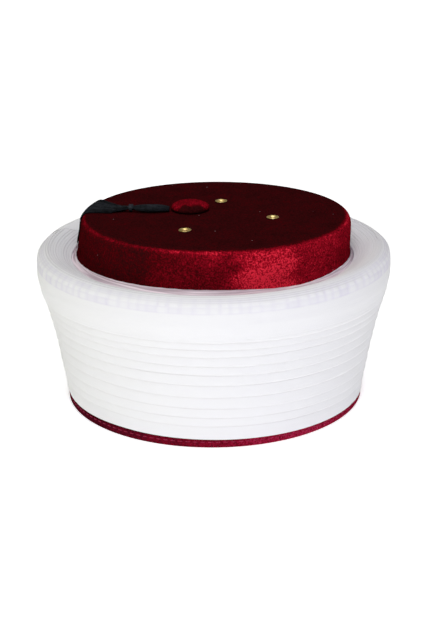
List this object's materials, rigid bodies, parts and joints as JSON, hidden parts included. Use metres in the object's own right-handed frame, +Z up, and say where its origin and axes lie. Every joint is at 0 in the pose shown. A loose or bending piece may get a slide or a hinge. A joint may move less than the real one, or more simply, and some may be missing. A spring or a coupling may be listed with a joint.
{
  "type": "turban",
  "caption": "White cloth turban wound in stepped turns round a flat-topped dark red velvet cap with a padded button, a dark silk tassel, brass vent eyelets and a bound hem.",
  "frame": {"origin": "centre of the hem that the turban rests on, at the level of the surface", "axes": "+Z up; -Y is the front that the picture shows, and the tassel lies towards -X"},
  "size_m": [0.2244, 0.2236, 0.1245],
  "materials": {
    "velvet": "dark red velvet with a short bright pile",
    "binding": "crimson velvet binding with a row of stitches",
    "cloth": "fine white matt cotton",
    "gauze": "thin see-through stiff gauze",
    "silk": "blue-black silk thread with a soft sheen",
    "brass": "polished brass"
  },
  "bodies": {
    "root": {"crown": "velvet", "hem_binding": "binding", "gauze_collar": "gauze", "wound_cloth": "cloth", "crown_button": "velvet", "tassel": "silk", "tassel_binding": "silk", "eyelet_1": "brass", "eyelet_2": "brass", "eyelet_3": "brass"}
  },
  "joints": []
}
